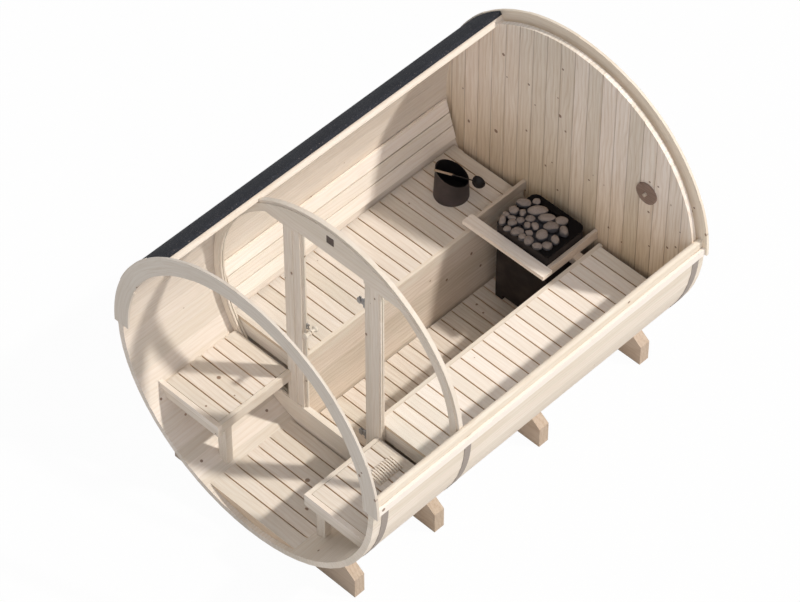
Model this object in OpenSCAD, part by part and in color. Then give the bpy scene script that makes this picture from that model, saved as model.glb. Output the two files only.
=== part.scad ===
// Barrel sauna on cradles, shown as a cut-away: the upper right staves are off, so the porch,
// the glazed front wall with its door, and the room with benches and heater are open to view.
// Sizes are in millimetres. Z points up, the porch faces -Y, and Z = 0 is the ground.

/* [Barrel] */
// Outer radius of the stave shell
shell_r = 1100; // [1000:5:1250]
// Length over the stave ends
shell_l = 2950; // [2800:10:3400]
// Thickness of a stave
stave_t = 43; // [36:1:50]
// Staves in the full round
stave_round = 60; // [48:2:72]
// Share of the full round that is left in place
kept_share = 0.6667; // [0.6:0.0001:0.7]
// Angle of the left cut, from +X towards +Z, in degrees
cut_deg = 125.5; // [115:0.5:135]
// Gap between the bead of one stave and the cove of the next
stave_gap = 0.3; // [0.2:0.1:1]
// Depth of the grooves that hold the end walls
croze_d = 8; // [6:0.5:12]

/* [Rings, felt, battens, bands] */
// Width of the curved trim ring on its face
ring_w = 121; // [100:1:160]
// Thickness of a trim ring
ring_t = 18; // [14:1:30]
// How far a trim ring stands out beyond the staves
ring_out = 34; // [26:1:50]
// Boards in one trim ring
ring_boards = 8; // [6:1:10]
// Step between neighbouring boards of a trim ring
ring_step = 3; // [0:0.5:5]
// Thickness of the roofing felt
felt_t = 26; // [4:0.5:30]
// Height of a side batten
batten_h = 56; // [40:1:90]
// Thickness of a side batten
batten_t = 20; // [14:1:24]
// Width of a steel band
band_w = 56; // [40:1:58]
// Thickness of a steel band
band_t = 2; // [1:0.5:3]

/* [Cradles] */
// Thickness of a cradle
cradle_t = 83; // [60:1:90]
// Half length of a cradle
cradle_half = 805; // [740:5:900]
// Height of a cradle's square end
cradle_end_h = 168; // [120:1:200]
// Rise of a cradle's sloping top for each millimetre inwards
cradle_slope = 0.77; // [0.6:0.01:0.9]
// Height of the barrel's lowest point above the ground
ground_gap = 70; // [50:1:100]

/* [Front wall and door] */
// Depth of the porch, from the stave ends to the front wall
porch_d = 763; // [700:1:820]
// Thickness of the front wall frame
wall_t = 40; // [38:1:60]
// Thickness of the tongue that sits in the staves
tongue_t = 31; // [24:1:32]
// How far the front face of the wall stays back from the tongue's edge
face_back = 20; // [12:1:30]
// Width of the curved frame along the staves
stile_w = 57; // [40:1:80]
// Half width of the clear doorway
door_half = 275; // [250:1:320]
// Width of a door jamb on its face
jamb_w = 57; // [45:1:70]
// Width of a door post on its face
post_w = 66; // [50:1:90]
// Height of the header over the middle of the doorway
header_h = 220; // [180:1:300]
// Step down from the top of the doorway to the top of the windows
window_drop = 25; // [20:1:100]
// Height of the sill board at its middle
sill_h = 265; // [220:1:340]
// Thickness of the door glass
door_t = 8; // [6:1:10]
// Clear gap round the door glass
door_gap = 6; // [5:0.5:10]
// Height of the hinges above and below the axis
hinge_z = 615; // [450:5:680]
// Height of the knobs above the axis
knob_z = -33; // [-150:1:150]

/* [Floor and benches] */
// Height of the floor above the barrel's lowest point
floor_h = 116; // [100:1:150]
// Height of the porch bench above the floor
porch_bench_h = 459; // [400:1:500]
// Height of the room bench above the floor
room_bench_h = 557; // [500:1:600]
// Distance of a porch bench's edge from the middle
porch_edge = 377; // [360:1:420]
// Distance of a room bench's edge from the middle
room_edge = 331; // [310:1:380]
// Spacing of slats and floor boards
slat_pitch = 100.7; // [90:0.1:120]
// Gap between slats
slat_gap = 10; // [6:0.5:16]
// Thickness of slats and floor boards
slat_t = 26; // [20:1:32]
// Thickness of a bench rail
rail_t = 30; // [22:1:40]
// Height of a bench rail
rail_h = 80; // [60:1:100]
// Half width of the room floor
room_floor_half = 286; // [260:1:290]

/* [Backrest] */
// Width of a backrest board
back_board_w = 95; // [80:1:105]
// Thickness of a backrest board
back_board_t = 22; // [18:1:28]
// Lean of the backrest in degrees
back_lean = 17; // [12:0.5:20]

/* [Heater and loose things] */
// Width of the heater
heater_w = 445; // [380:1:460]
// Depth of the heater
heater_d = 365; // [320:1:380]
// Height of the heater
heater_h = 699; // [650:1:760]
// Height of the bucket's slanted rim at its middle
bucket_h = 192; // [160:1:220]
// Radius of the bucket at its rim
bucket_r = 111; // [95:1:120]
// Slant of the bucket's rim in degrees
bucket_tilt = 28.3; // [0:0.1:30]
// Distance of the bucket's middle from the back wall
bucket_back = 372; // [300:1:420]
// Radius of the vent disc
vent_r = 80; // [60:1:100]

/* [Hidden] */
$fn = 300;
fit = 0.3;
wood = "#ead6b4";
wood_shade = "#dcc49c";
slate = "#3a4048";
steel = "#a9adb0";
black = "#222326";
glass = [0.80, 0.88, 0.88, 0.45];

axis_z = shell_r + ground_gap;
pitch_deg = 360 / stave_round;
staves_kept = round(stave_round * kept_share);
stave_out = shell_r * cos(pitch_deg / 2);
stave_in = stave_out - stave_t;
inner_r = stave_in - fit;
bead_r = stave_t * 0.56;
bead_back = sqrt(bead_r * bead_r - stave_t * stave_t / 4);
croze_r = shell_r - stave_t + croze_d;
tongue_r = croze_r - fit;

ring_r = shell_r + ring_out;
ring_in = ring_r - ring_w;
ring_deg = 0;
felt_deg = 180 - asin((batten_h + 24) / shell_r);

wall_back = porch_d + wall_t;
tongue_y = wall_back - tongue_t;
door_head = tongue_r - header_h;
window_head = door_head - window_drop;
sill_z = sill_h - tongue_r;
back_wall_t = 37;
back_wall_y = shell_l - 80;
stile_r = inner_r - stile_w;
post_in = door_half + jamb_w;
post_out = post_in + post_w;
jamb_set = 8;
stop_w = 18;
stop_t = 12;
glass_t = 6;
glass_y = porch_d + 17;
bead_w = 12;

leaf_y = porch_d + 14;
leaf_mid = leaf_y + door_t / 2;
leaf_half = door_half - door_gap;
hinge_x = leaf_half - 7;
pin_r = 4;
knuckle_r = 8;
clamp_from = 24;
clamp_to = 52;
clamp_h = 44;
clamp_pad = 6;
notch = 28;
notch_half = 40;
knob_x = -(door_half - 65);

floor_z = floor_h - shell_r;
porch_top = floor_z + porch_bench_h;
room_top = floor_z + room_bench_h;
porch_face = 130;
face_t = 32;
porch_back = porch_d - fit;
porch_gaps_left = porch_face + face_t + slat_pitch - 1;
porch_gaps_right = porch_gaps_left + 8;
porch_seam = 3;
room_front = wall_back + 2;
room_back = back_wall_y - 24;
room_face_t = 22;
room_gaps_left = room_front + slat_pitch + 8;
room_gaps_right = room_gaps_left + 6;
bearer_h = 45;
joist_w = 40;

band_y = [98, porch_d + 43, back_wall_y + 2];
cradle_y = [
    band_y[0] + band_w / 2 + cradle_t / 2 + 3,
    band_y[1] + band_w / 2 + cradle_t / 2 + 3,
    (band_y[1] + band_y[2]) / 2,
    band_y[2] - band_w / 2 - cradle_t / 2 - 3
];
batten_cuts = [ring_t, band_y[1] + 60, shell_l * 0.64, shell_l - ring_t];

heater_x = 42;
heater_y = back_wall_y - 263;
heater_top = floor_z + heater_h;
guard_y = heater_y - heater_d / 2 - 100;
guard_top = room_top + 77;
guard_t = 32;
guard_w = 85;
guard_rail_t = 24;
guard_right = heater_x + heater_w / 2 + 8;
bucket_x = -(room_edge + half_chord(inner_r, room_top)) / 2;
bucket_y = back_wall_y - bucket_back;
bucket_turn = 40.5;

// Half width of a circle of radius r at height z from its centre
function half_chord(r, z) = sqrt(max(r * r - z * z, 1));

// Moves from the barrel's own frame (y from the front, z from the axis) to the ground
module placed() {
    translate([0, -shell_l / 2, axis_z]) children();
}

// Extrudes a section drawn in X and Z from y0 to y1
module along_y(y0, y1) {
    translate([0, y1, 0]) rotate([90, 0, 0]) linear_extrude(y1 - y0) children();
}

// Mirrors to the left side when side is -1
module on_side(side) {
    mirror([side < 0 ? 1 : 0, 0, 0]) children();
}

// Pie slice that reaches well past the shell
module pie(a0, a1) {
    steps = 8;
    polygon(concat(
        [[0, 0]],
        [for (i = [0:steps]) 1.5 * ring_r * [
            cos(a0 + (a1 - a0) * i / steps),
            sin(a0 + (a1 - a0) * i / steps)
        ]]
    ));
}

// Flat arc between two radii and two angles
module arc(r0, r1, a0, a1) {
    intersection() {
        difference() {
            circle(r = r1);
            circle(r = r0);
        }
        pie(a0, a1);
    }
}

// Rectangle between two corners
module rect(x0, z0, x1, z1) {
    translate([x0, z0]) square([x1 - x0, z1 - z0]);
}

// Box between two corners
module box(a, b) {
    translate(a) cube(b - a);
}

// Section of one stave, centred on +X: bead on the rising side, cove on the other
module stave_section() {
    half = pitch_deg / 2;
    mid = (stave_out + stave_in) / 2 / cos(half);
    difference() {
        union() {
            polygon([
                [stave_in, -stave_in * tan(half)],
                [stave_out, -stave_out * tan(half)],
                [stave_out, stave_out * tan(half)],
                [stave_in, stave_in * tan(half)]
            ]);
            rotate(half) intersection() {
                translate([mid, -bead_back]) circle(r = bead_r);
                rect(mid - stave_t, -stave_t / 20, mid + stave_t, stave_t);
                rect(mid - stave_t / 2, -stave_t, mid + stave_t / 2, stave_t);
            }
        }
        rotate(-half) translate([mid, -bead_back]) circle(r = bead_r + stave_gap);
    }
}

// Staves from one number up to the next, with grooves for the walls and rebates for the rings
module staves(first, last) {
    color(wood) placed() difference() {
        for (k = [first:last - 1])
            along_y(0, shell_l) rotate(cut_deg + pitch_deg * (k + 0.5)) stave_section();
        along_y(tongue_y - fit, wall_back + fit) circle(r = croze_r);
        along_y(back_wall_y - fit, back_wall_y + back_wall_t + fit) circle(r = croze_r);
        along_y(-1, ring_t + fit) ring_space();
        along_y(shell_l - ring_t - fit, shell_l + 1) ring_space();
    }
}

// Room that a trim ring takes up in the stave ends
module ring_space() {
    arc(ring_in - 20, ring_r + 20, ring_deg - 0.03, 180 - ring_deg + 0.03);
}

module staves_left_upper() {
    staves(0, floor(staves_kept / 5));
}

module staves_left_lower() {
    staves(floor(staves_kept / 5), floor(staves_kept * 2 / 5));
}

module staves_bottom() {
    staves(floor(staves_kept * 2 / 5), floor(staves_kept * 3 / 5));
}

module staves_right_lower() {
    staves(floor(staves_kept * 3 / 5), floor(staves_kept * 4 / 5));
}

module staves_right_upper() {
    staves(floor(staves_kept * 4 / 5), staves_kept);
}

// Curved boards of one trim ring, each a little in or out of the next
module ring_set(y0) {
    span = (180 - 2 * ring_deg) / ring_boards;
    color(wood_shade) placed() along_y(y0, y0 + ring_t)
        for (i = [0:ring_boards - 1])
            arc(
                ring_in - (i % 2) * ring_step,
                ring_r - (i % 2) * ring_step,
                ring_deg + span * i + (i == 0 ? 0 : 0.02),
                ring_deg + span * (i + 1) - 0.02
            );
}

module front_ring() {
    ring_set(0);
}

module rear_ring() {
    ring_set(shell_l - ring_t);
}

// Felt on the staves that are left of the roof, between the two rings
module roof_felt() {
    color(slate) placed() along_y(ring_t + fit, shell_l - ring_t - fit)
        arc(shell_r + fit, shell_r + felt_t, cut_deg + 0.1, felt_deg);
}

// Batten along the side, in lengths, cut out where the steel bands pass under it
module batten(side) {
    color(wood) placed() on_side(side) difference() {
        for (i = [0:len(batten_cuts) - 2])
            along_y(batten_cuts[i] + 0.5, batten_cuts[i + 1] - 0.5) difference() {
                rect(shell_r * 0.9, 0, shell_r + batten_t, batten_h);
                circle(r = shell_r + fit);
            }
        for (y = band_y)
            along_y(y - band_w / 2 - 1, y + band_w / 2 + 1) circle(r = shell_r + band_t + 2 * fit);
    }
}

module left_batten() {
    batten(-1);
}

module right_batten() {
    batten(1);
}

// Steel straps round the underside, their ends under the battens
module steel_bands() {
    color(steel) placed()
        for (y = band_y)
            along_y(y - band_w / 2, y + band_w / 2)
                arc(shell_r + fit, shell_r + fit + band_t, 178, 362);
}

// Saddle beams under the barrel
module cradles() {
    low = -axis_z;
    slope_run = cradle_half * 0.3;
    color(wood_shade) placed()
        for (y = cradle_y)
            along_y(y - cradle_t / 2, y + cradle_t / 2) difference() {
                polygon([
                    [-cradle_half, low],
                    [cradle_half, low],
                    [cradle_half, low + cradle_end_h],
                    [cradle_half - slope_run, low + cradle_end_h + slope_run * cradle_slope],
                    [slope_run - cradle_half, low + cradle_end_h + slope_run * cradle_slope],
                    [-cradle_half, low + cradle_end_h]
                ]);
                circle(r = shell_r + fit);
            }
}

// Piece of the front wall from a flat outline: a face board, and behind it the tongue in the staves
module wall_piece() {
    along_y(porch_d, tongue_y + 1) intersection() {
        circle(r = tongue_r - face_back);
        children();
    }
    along_y(tongue_y, wall_back) intersection() {
        circle(r = tongue_r);
        children();
    }
}

// Arched board over the door and the windows, with the door's top stop
module front_header() {
    color(wood_shade) placed() {
        wall_piece() difference() {
            rect(-shell_r, window_head, shell_r, shell_r);
            rect(-door_half, 0, door_half, door_head);
        }
        box([-door_half, wall_back - stop_t, door_head - stop_w], [door_half, wall_back, door_head]);
    }
}

// Curved frame between a window and the staves
module stile(side) {
    color(wood_shade) placed() on_side(side) wall_piece() difference() {
        rect(post_out, sill_z, shell_r, window_head);
        circle(r = stile_r);
    }
}

module left_stile() {
    stile(-1);
}

module right_stile() {
    stile(1);
}

// Post beside the door, with the set-back jamb and the strip that stops the door
module door_post(side) {
    color(wood) placed() on_side(side) {
        box([post_in, porch_d, sill_z], [post_out, wall_back, window_head]);
        box([door_half, porch_d + jamb_set, sill_z], [post_in + 1, wall_back, window_head]);
        box(
            [door_half - stop_w, wall_back - stop_t, sill_z],
            [door_half + 1, wall_back, window_head]
        );
    }
}

module left_door_post() {
    door_post(-1);
}

module right_door_post() {
    door_post(1);
}

// Board that closes the front wall below the door and the windows
module front_sill() {
    color(wood_shade) placed() wall_piece() rect(-shell_r, -shell_r, shell_r, sill_z);
}

// Outline of a window, set in from the frame
module window_outline(inset) {
    intersection() {
        circle(r = stile_r - inset);
        rect(post_out + inset, sill_z + inset, shell_r, window_head - inset);
    }
}

module window_pane(side) {
    color(glass) placed() on_side(side)
        along_y(glass_y, glass_y + glass_t) window_outline(fit);
}

module left_window() {
    window_pane(-1);
}

module right_window() {
    window_pane(1);
}

// Strips on both faces of each window pane
module glazing_beads() {
    color(wood) placed()
        for (side = [-1, 1])
            for (y = [glass_y - bead_w - fit, glass_y + glass_t + fit])
                on_side(side) along_y(y, y + bead_w) difference() {
                    window_outline(0);
                    window_outline(bead_w);
                }
}

// Frameless door leaf, notched for the hinges and drilled for the knobs
module door_glass() {
    color(glass) placed() difference() {
        box(
            [-leaf_half, leaf_y, sill_z + door_gap],
            [leaf_half, leaf_y + door_t, door_head - door_gap]
        );
        for (z = [-hinge_z, hinge_z])
            box(
                [hinge_x - notch, leaf_y - 1, z - notch_half],
                [leaf_half + 1, leaf_y + door_t + 1, z + notch_half]
            );
        translate([knob_x, leaf_y - 1, knob_z]) rotate([-90, 0, 0]) cylinder(r = 5.2, h = door_t + 2);
    }
}

// Half of each hinge that grips the glass and turns on the pin
module door_hinges() {
    color(steel) placed() for (z = [-hinge_z, hinge_z]) translate([hinge_x, leaf_mid, z]) {
        difference() {
            union() {
                box([-clamp_from - 1, -5, -18], [0, 5, 18]);
                cylinder(r = knuckle_r, h = 36, center = true);
            }
            cylinder(r = pin_r + 0.05, h = 40, center = true);
        }
        difference() {
            translate([-(clamp_from + clamp_to) / 2, door_t / 2 + clamp_pad, 0]) rotate([90, 0, 0])
                linear_extrude(door_t + 2 * clamp_pad) round_rect(clamp_to - clamp_from, clamp_h, 9);
            box(
                [-clamp_to - 1, -door_t / 2 - 0.1, -clamp_h / 2 - 1],
                [-notch + 0.1, door_t / 2 + 0.1, clamp_h / 2 + 1]
            );
        }
    }
}

// Turned wooden knobs on both faces of the door, on one spindle
module door_knobs() {
    color(wood) placed() translate([knob_x, leaf_mid, knob_z]) {
        rotate([90, 0, 0]) cylinder(r = 5, h = door_t + 10, center = true);
        for (turn = [90, -90])
            rotate([turn, 0, 0]) translate([0, 0, door_t / 2]) rotate_extrude()
                polygon([
                    [0, 0], [16, 0], [16, 6], [11, 14], [13, 24],
                    [22, 32], [22, 42], [16, 47], [0, 48]
                ]);
    }
}

// Half of each hinge that is fixed to the jamb, with the pin
module hinge_plates() {
    color(steel) placed() for (z = [-hinge_z, hinge_z]) translate([hinge_x, leaf_mid, z]) {
        cylinder(r = pin_r, h = 70, center = true);
        box([door_half - hinge_x - 3, -10, -35], [door_half - hinge_x, 10, 35]);
        for (s = [-1, 1]) translate([0, 0, s * 27.5]) {
            cylinder(r = knuckle_r, h = 15, center = true);
            translate([(door_half - hinge_x) / 2, 0, 0])
                cube([door_half - hinge_x, 8, 15], center = true);
        }
    }
}

// Roller that holds the closed door, on the room side of the left jamb
module roller_catch() {
    x = -(door_half - stop_w);
    color(steel) placed() {
        box([x, wall_back - stop_t, -45], [x + 4, wall_back, 5]);
        box([x, wall_back - stop_t + 2, -40], [x + 20, wall_back, -32]);
        box([x, wall_back - stop_t + 2, -8], [x + 20, wall_back, 0]);
        translate([x + 13, wall_back - 6, -33]) cylinder(r = 5, h = 26);
    }
}

// Disc of upright boards that closes the back, with a groove at each joint
module back_wall() {
    pitch = 115.7;
    first = 34.3;
    n = floor((tongue_r - 60) / pitch);
    color(wood_shade) placed() difference() {
        along_y(back_wall_y, back_wall_y + back_wall_t) circle(r = tongue_r);
        for (k = [-n:n - 1])
            for (y = [back_wall_y, back_wall_y + back_wall_t])
                translate([first + pitch * k, y, 0]) rotate([0, 0, 45])
                    cube([6.5, 6.5, 2.2 * shell_r], center = true);
    }
}

// Round vent cover high on the back wall
module vent_disc() {
    at = [0.615 * shell_r, back_wall_y, 0.258 * shell_r];
    color("#8a6238") placed() translate(at) rotate([90, 0, 0]) {
        cylinder(r = vent_r, h = 16);
        cylinder(r = 12, h = 34);
    }
}

// Boards or slats across the barrel between two heights of y, with even gaps after the first
module boards(x0, x1, top, y0, y1, first_gap) {
    n = ceil((y1 - first_gap) / slat_pitch);
    for (k = [0:n]) {
        a = k == 0 ? y0 : first_gap + slat_pitch * (k - 1) + slat_gap / 2;
        b = min(first_gap + slat_pitch * k - slat_gap / 2, y1);
        if (b - a > 20)
            box([x0, a, top - slat_t], [x1, b, top]);
    }
}

// Joist under a floor, cut to the staves
module joist(x, y0, y1) {
    along_y(y0, y1) intersection() {
        circle(r = inner_r);
        rect(x - joist_w / 2, -shell_r, x + joist_w / 2, floor_z - slat_t + 1);
    }
}

// Porch floor: boards and joists, with a front board under them cut to the curve of the staves
module porch_floor() {
    y0 = 35;
    half = half_chord(inner_r, floor_z) - 6;
    color(wood) placed() {
        along_y(y0, y0 + 30) intersection() {
            circle(r = inner_r);
            rect(-shell_r, -shell_r, shell_r, floor_z - slat_t + 1);
        }
        intersection() {
            boards(-half, half, floor_z, y0, porch_d - 10, y0 + 116);
            along_y(0, shell_l) circle(r = inner_r);
        }
        for (x = [-half * 0.45, half * 0.45])
            joist(x, y0 + 29, porch_d - 10);
    }
}

// Duckboards between the benches of the room
module room_floor() {
    y1 = back_wall_y - 4;
    color(wood) placed() {
        intersection() {
            boards(
                -room_floor_half, room_floor_half, floor_z,
                wall_back + 4, y1, wall_back + slat_pitch + 12
            );
            along_y(0, shell_l) circle(r = inner_r);
        }
        for (x = [-room_floor_half * 0.6, room_floor_half * 0.6])
            joist(x, wall_back + 4, y1);
    }
}

// Slats of a bench on two bearers that start at bearer_y, the outer one cut to the staves
module bench_slats(side, edge, top, y0, y1, first_gap, end_gap, seam, bearer_y) {
    low = top - slat_t - bearer_h;
    outer = half_chord(inner_r, top) - end_gap;
    color(wood) placed() on_side(side) {
        boards(edge + rail_t + seam, outer, top, y0, y1, first_gap);
        box([edge + rail_t, bearer_y, low], [edge + rail_t + 33, y1, top - slat_t + 1]);
        along_y(bearer_y, y1) intersection() {
            circle(r = inner_r);
            rect(outer - 70, low, shell_r, top - slat_t + 1);
        }
    }
}

module porch_slats(side, first_gap) {
    y0 = porch_face + face_t;
    bench_slats(
        side, porch_edge, porch_top, y0 + porch_seam, porch_back, first_gap, 40, porch_seam, y0
    );
}

module porch_left_slats() {
    porch_slats(-1, porch_gaps_left);
}

module porch_right_slats() {
    porch_slats(1, porch_gaps_right);
}

module room_slats(side, first_gap) {
    bench_slats(
        side, room_edge, room_top, room_front, room_back, first_gap, 28, 0, room_front + room_face_t
    );
}

module room_left_slats() {
    room_slats(-1, room_gaps_left);
}

module room_right_slats() {
    room_slats(1, room_gaps_right);
}

// Front rail of a bench and the fascia across its end
module bench_rail(edge, top, y0, y1, fascia_t, fascia_low, fascia_top) {
    box([edge, y0, top - rail_h], [edge + rail_t, y1, top]);
    along_y(y0, y0 + fascia_t) intersection() {
        circle(r = inner_r);
        rect(edge, fascia_low, shell_r, fascia_top);
    }
}

// Porch bench frame: rail, fascia and a leg that stands on the staves
module porch_frame(side) {
    leg_y = porch_face + 78;
    color(wood) placed() on_side(side) {
        bench_rail(
            porch_edge, porch_top, porch_face, porch_d - fit, face_t, porch_top - 100, porch_top
        );
        along_y(leg_y, leg_y + 53) intersection() {
            circle(r = inner_r);
            rect(porch_edge + 22, -shell_r, porch_edge + 94, porch_top - rail_h);
        }
    }
}

module porch_left_frame() {
    porch_frame(-1);
}

module porch_right_frame() {
    porch_frame(1);
}

// Room bench rail, with the fascia under the slats
module room_rail(side) {
    under = room_top - slat_t;
    color(wood) placed() on_side(side)
        bench_rail(
            room_edge, room_top, room_front, room_back, room_face_t, under - 113, under - fit
        );
}

module room_left_rail() {
    room_rail(-1);
}

module room_right_rail() {
    room_rail(1);
}

// Slanted panels that close the benches down to the floor
module bench_skirts() {
    top = room_top - rail_h;
    foot = room_floor_half + 8;
    color(wood_shade) placed()
        for (side = [-1, 1])
            on_side(side) along_y(room_front + room_face_t + fit, back_wall_y - 2) intersection() {
                circle(r = inner_r);
                polygon([
                    [room_edge + 4, top],
                    [room_edge + 24, top],
                    [foot + 20, -shell_r],
                    [foot, -shell_r]
                ]);
            }
}

// Leaning boards over the left bench, on uprights that are cut to the staves
module backrest() {
    low = room_top + 62;
    foot = half_chord(inner_r, low) - 55;
    step = back_board_w + slat_gap;
    rise = 3 * back_board_w + 2 * slat_gap;
    color(wood) placed() on_side(-1) {
        for (i = [0:2])
            along_y(room_front + 16, room_back - 6) translate([foot, low]) rotate(-back_lean)
                rect(0, i * step, back_board_t, i * step + back_board_w);
        for (y = [0.08, 0.36, 0.64, 0.92] * (room_back - room_front))
            along_y(room_front + y - 30, room_front + y + 30) intersection() {
                circle(r = inner_r);
                translate([foot, low]) rotate(-back_lean) rect(back_board_t - 1, 10, 120, rise - 10);
            }
    }
}

// Square with round corners about a centre
module round_rect(w, d, r) {
    square([w - 2 * r, d], center = true);
    square([w, d - 2 * r], center = true);
    for (x = [-1, 1])
        for (y = [-1, 1])
            translate([x * (w / 2 - r), y * (d / 2 - r)]) circle(r = r);
}

// Outline of the heater, with tight corners at the front and round ones at the back
module casing(w, d, front_r, back_r) {
    translate([-w / 2, front_r - d / 2]) square([w, d - front_r - back_r]);
    translate([front_r - w / 2, -d / 2]) square([w - 2 * front_r, d / 2]);
    translate([back_r - w / 2, 0]) square([w - 2 * back_r, d / 2]);
    for (x = [-1, 1]) {
        translate([x * (w / 2 - front_r), front_r - d / 2]) circle(r = front_r);
        translate([x * (w / 2 - back_r), d / 2 - back_r]) circle(r = back_r);
    }
}

// Heater casing on corner feet, with an open tub for its stones let into the top
module heater() {
    foot_h = 40;
    wall = 6;
    front_r = 12;
    back_r = 50;
    tall = heater_h - foot_h;
    tub_w = heater_w * 0.85;
    tub_d = heater_d * 0.844;
    tub_r = 100;
    tub_deep = 190;
    tub_at = [-heater_w * 0.056, -heater_d * 0.058, heater_h - tub_deep];
    color(black) placed() translate([heater_x, heater_y, floor_z]) {
        difference() {
            translate([0, 0, foot_h]) linear_extrude(tall) casing(heater_w, heater_d, front_r, back_r);
            translate([0, 0, foot_h - 1]) linear_extrude(tall - wall + 1)
                casing(heater_w - 2 * wall, heater_d - 2 * wall, front_r - wall, back_r - wall);
            translate(tub_at) linear_extrude(tub_deep + 1) round_rect(tub_w, tub_d, tub_r);
        }
        translate(tub_at) difference() {
            translate([0, 0, -wall]) linear_extrude(tub_deep + 1)
                round_rect(tub_w + 2 * wall, tub_d + 2 * wall, tub_r + wall);
            linear_extrude(tub_deep + 1) round_rect(tub_w, tub_d, tub_r);
        }
        linear_extrude(foot_h + 20) difference() {
            casing(heater_w - 2, heater_d - 2, front_r - 1, back_r - 1);
            casing(heater_w - 56, heater_d - 56, front_r, back_r - 28);
            square([heater_w - 136, heater_d], center = true);
            square([heater_w, heater_d - 136], center = true);
        }
    }
}

// Flat board across the front of the heater guard
module heater_guard() {
    color(wood) placed()
        box(
            [-room_edge - 54, guard_y, guard_top - guard_t],
            [guard_right + 48, guard_y + guard_w, guard_top]
        );
}

// Side rails of the heater guard: one on the left bench, one held off the right bench
module guard_rails() {
    y1 = back_wall_y - 2;
    mid = guard_y + guard_w;
    color(wood) placed() {
        for (x = [-room_edge - guard_rail_t, guard_right])
            translate([x, 0, 0]) rotate([90, 0, 90]) linear_extrude(guard_rail_t)
                polygon([
                    [guard_y + 40, room_top],
                    [y1, room_top],
                    [y1, guard_top],
                    [mid + fit, guard_top],
                    [mid + fit, guard_top - guard_t],
                    [guard_y + 40, guard_top - guard_t]
                ]);
        box(
            [guard_right + guard_rail_t, heater_y + 20, room_top - 50],
            [room_edge, heater_y + 90, room_top + 8]
        );
        box(
            [guard_right, heater_y + 20, room_top - 50],
            [guard_right + guard_rail_t, heater_y + 90, room_top]
        );
    }
}

// Moves to the plane of the bucket's slanted rim
module at_rim() {
    translate([bucket_x, bucket_y, room_top + bucket_h]) rotate([0, 0, bucket_turn])
        rotate([0, bucket_tilt, 0]) children();
}

// Tapered water bucket, cut off on the slant
module bucket() {
    base_r = bucket_r * 1.07;
    tall = bucket_h * 1.4;
    top_r = base_r - (base_r - bucket_r) * 1.4;
    wall = 6;
    color(black) placed() difference() {
        translate([bucket_x, bucket_y, room_top]) rotate_extrude()
            polygon([
                [0, 0],
                [base_r, 0],
                [top_r, tall],
                [top_r - wall, tall],
                [base_r - wall, 10],
                [0, 10]
            ]);
        at_rim() translate([-bucket_h, -bucket_h, 0]) cube(2 * bucket_h);
    }
}

// Ladle laid across the bucket's rim: wooden handle, thin shaft, and the bowl beyond the rim
module ladle() {
    handle_r = 8;
    shaft_r = 4;
    bowl_r = 46;
    reach = bucket_r + 42;
    color("#6b4a2c") placed() at_rim() rotate([0, 0, 10.9]) translate([0, -18, 0]) rotate([0, 0.91, 0])
        translate([0, 0, 6.5]) {
            translate([-bucket_r - 23, 0, 0]) rotate([0, 90, 0]) cylinder(r = handle_r, h = bucket_r + 28);
            rotate([0, 90, 0]) cylinder(r = shaft_r, h = reach);
            translate([reach + bowl_r - 2, 0, 6]) difference() {
                sphere(r = bowl_r, $fn = 64);
                sphere(r = bowl_r - 3, $fn = 64);
                translate([0, 0, bowl_r]) cube(2 * bowl_r, center = true);
            }
        }
}

// Slatted headrest on the right porch bench: curved ribs on two rails
module headrest() {
    ribs = 11;
    pitch = 19;
    rib_w = 10;
    rib_t = 9;
    run = 108;
    crest = 30;
    r = 250;
    long = pitch * (ribs - 1) + rib_w;
    color(wood_shade) placed() translate([porch_edge + 178, porch_back - 62 - long, porch_top]) {
        for (i = [0:ribs - 1])
            along_y(pitch * i, pitch * i + rib_w) intersection() {
                translate([10, crest - r]) difference() {
                    circle(r = r);
                    circle(r = r - rib_t);
                }
                rect(0, 0, run, crest + 1);
            }
        box([8, 0, 0], [26, long, crest - rib_t + 0.5]);
        box([84, 0, 0], [96, long, 7]);
    }
}

staves_left_upper();
staves_left_lower();
staves_bottom();
staves_right_lower();
staves_right_upper();
front_ring();
rear_ring();
roof_felt();
left_batten();
right_batten();
steel_bands();
cradles();
front_header();
left_stile();
right_stile();
left_door_post();
right_door_post();
front_sill();
left_window();
right_window();
glazing_beads();
door_glass();
door_hinges();
door_knobs();
hinge_plates();
roller_catch();
back_wall();
vent_disc();
porch_floor();
room_floor();
porch_left_slats();
porch_left_frame();
porch_right_slats();
porch_right_frame();
room_left_slats();
room_left_rail();
room_right_slats();
room_right_rail();
bench_skirts();
backrest();
heater();
heater_guard();
guard_rails();
bucket();
ladle();
headrest();
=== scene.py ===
"""Dresses the cut-away barrel sauna: spruce, felt, glass, heater stones, fittings and studio light."""

from __future__ import annotations

import logging
import math
import random
from dataclasses import dataclass
from enum import Enum
from typing import Protocol

import bmesh
import bpy
from mathutils import Matrix, Vector, noise


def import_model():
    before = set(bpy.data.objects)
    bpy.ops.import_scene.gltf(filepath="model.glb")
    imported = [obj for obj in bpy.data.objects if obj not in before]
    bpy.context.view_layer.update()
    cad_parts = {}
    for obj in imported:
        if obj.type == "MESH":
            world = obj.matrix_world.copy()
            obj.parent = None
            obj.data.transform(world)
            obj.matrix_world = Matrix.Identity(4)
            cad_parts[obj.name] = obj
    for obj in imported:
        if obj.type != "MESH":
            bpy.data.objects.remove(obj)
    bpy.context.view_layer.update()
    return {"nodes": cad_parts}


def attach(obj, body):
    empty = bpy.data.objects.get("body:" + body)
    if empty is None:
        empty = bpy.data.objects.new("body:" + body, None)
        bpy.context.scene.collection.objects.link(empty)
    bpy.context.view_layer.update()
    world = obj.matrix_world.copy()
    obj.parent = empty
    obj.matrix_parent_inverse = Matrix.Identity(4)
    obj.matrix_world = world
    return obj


LOG = logging.getLogger("sauna")
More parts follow.
